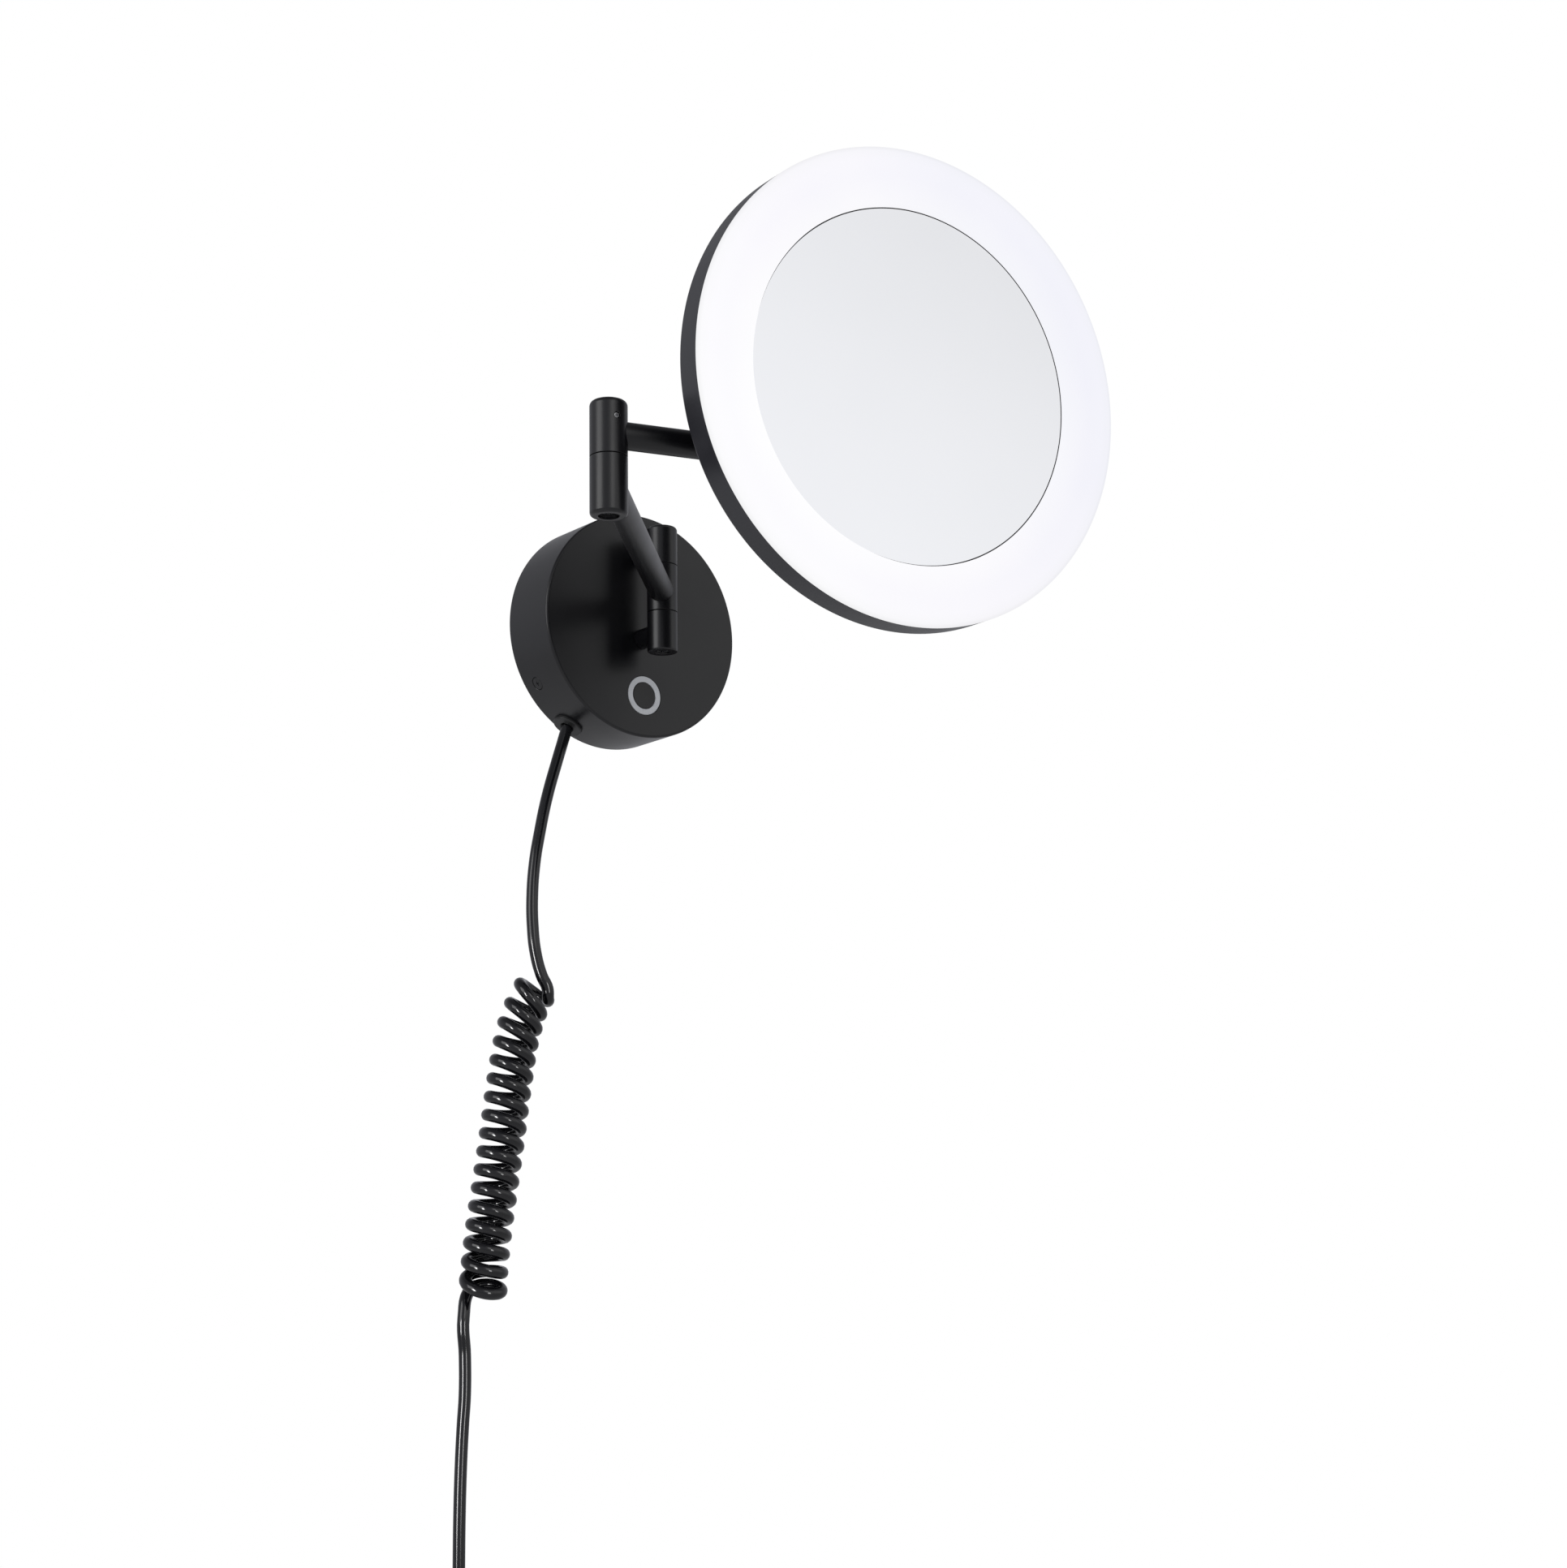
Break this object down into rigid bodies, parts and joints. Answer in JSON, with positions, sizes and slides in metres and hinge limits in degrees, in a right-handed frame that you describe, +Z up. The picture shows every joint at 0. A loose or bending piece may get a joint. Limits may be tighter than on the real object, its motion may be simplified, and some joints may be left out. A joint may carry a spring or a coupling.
{
  "type": "extendable shaving mirror",
  "caption": "Round lit magnifying mirror on a two-arm folding bracket with upright friction knuckles, a round wall unit with a touch switch, and a curly supply cord with plug.",
  "frame": {"origin": "centre of the flat back of the round wall unit, where it lies on the wall", "axes": "+Y into the wall, -Y out into the room, +Z up, +X to the right for someone facing the wall"},
  "size_m": [0.2157, 0.2378, 0.7008],
  "materials": {
    "black_metal": "satin black powder coat with a very fine grain",
    "head_shell": "satin anthracite coat on a spun aluminium shell",
    "steel": "plain turned steel",
    "zinc_plate": "zinc plated sheet steel",
    "black_plastic": "fine matt moulded plastic",
    "diffuser": "opal white light diffuser",
    "light_guide": "pale grey light guide",
    "mirror": "silvered magnifying glass",
    "circuit_board": "white solder resist",
    "white_plastic": "white moulded plastic",
    "nylon": "dark nylon",
    "cord_rubber": "glossy black cord sheath"
  },
  "bodies": {
    "wall_unit": {"wall_plate": "zinc_plate", "base_housing": "black_metal", "housing_screw_1": "black_metal", "housing_screw_2": "black_metal", "housing_screw_3": "black_metal", "touch_ring": "light_guide", "touch_pad": "black_plastic", "touch_board": "circuit_board", "led_driver": "white_plastic", "terminal_block": "white_plastic", "cord_clamp": "black_plastic", "cable_gland": "black_plastic", "post_lower": "black_metal", "post_upper": "black_metal", "post_nut_lower": "steel", "post_nut_upper": "steel", "wall_knuckle_lower": "black_metal", "wall_knuckle_upper": "black_metal", "wall_hinge_pin": "steel", "wall_washer_lower": "nylon", "cord_upper": "cord_rubber", "cord_coil": "cord_rubber", "cord_lower": "cord_rubber", "plug_body": "black_plastic", "plug_pin_left": "steel", "plug_pin_right": "steel"},
    "arm_1": {"wall_knuckle_middle": "black_metal", "wall_bush_lower": "nylon", "wall_bush_upper": "nylon", "wall_washer_upper": "nylon", "arm_1_tube": "black_metal", "elbow_lower": "black_metal", "elbow_washer": "nylon"},
    "arm_2": {"elbow_upper": "black_metal", "elbow_pin": "steel", "elbow_set_screw": "steel", "arm_2_tube": "black_metal", "head_knuckle_lower": "black_metal", "head_washer": "nylon"},
    "head_swivel": {"head_knuckle_upper": "black_metal", "head_swivel_pin": "steel", "head_set_screw": "steel"},
    "mirror_head": {"tilt_yoke": "black_metal", "tilt_bolt": "steel", "tilt_nut": "steel", "tilt_washer_left": "nylon", "tilt_washer_right": "nylon", "yoke_screw_1": "steel", "yoke_screw_2": "steel", "yoke_screw_3": "steel", "yoke_screw_4": "steel", "head_housing": "head_shell", "reflector_tray": "white_plastic", "led_board": "circuit_board", "rim_seal": "cord_rubber", "diffuser_ring": "diffuser", "mirror_carrier": "black_plastic", "mirror_glass": "mirror"}
  },
  "joints": [
    {"name": "wall_hinge", "type": "hinge", "parent": "wall_unit", "child": "arm_1", "pos_m": [0, -0.0459, 0.01315], "axis": [0, 0, 1], "range_deg": [-47, 75]},
    {"name": "elbow_hinge", "type": "hinge", "parent": "arm_1", "child": "arm_2", "pos_m": [-0.1113, -0.16526, 0.0209], "axis": [0, 0, 1], "range_deg": [-119, 3]},
    {"name": "head_swivel", "type": "hinge", "parent": "arm_2", "child": "head_swivel", "pos_m": [0.00106, -0.19327, 0.0395], "axis": [0, 0, 1], "range_deg": [-5, 110]},
    {"name": "head_tilt", "type": "hinge", "parent": "head_swivel", "child": "mirror_head", "pos_m": [0.00106, -0.19327, 0.0578], "axis": [0.9907, -0.1357, 0], "range_deg": [-35, 7]}
  ]
}
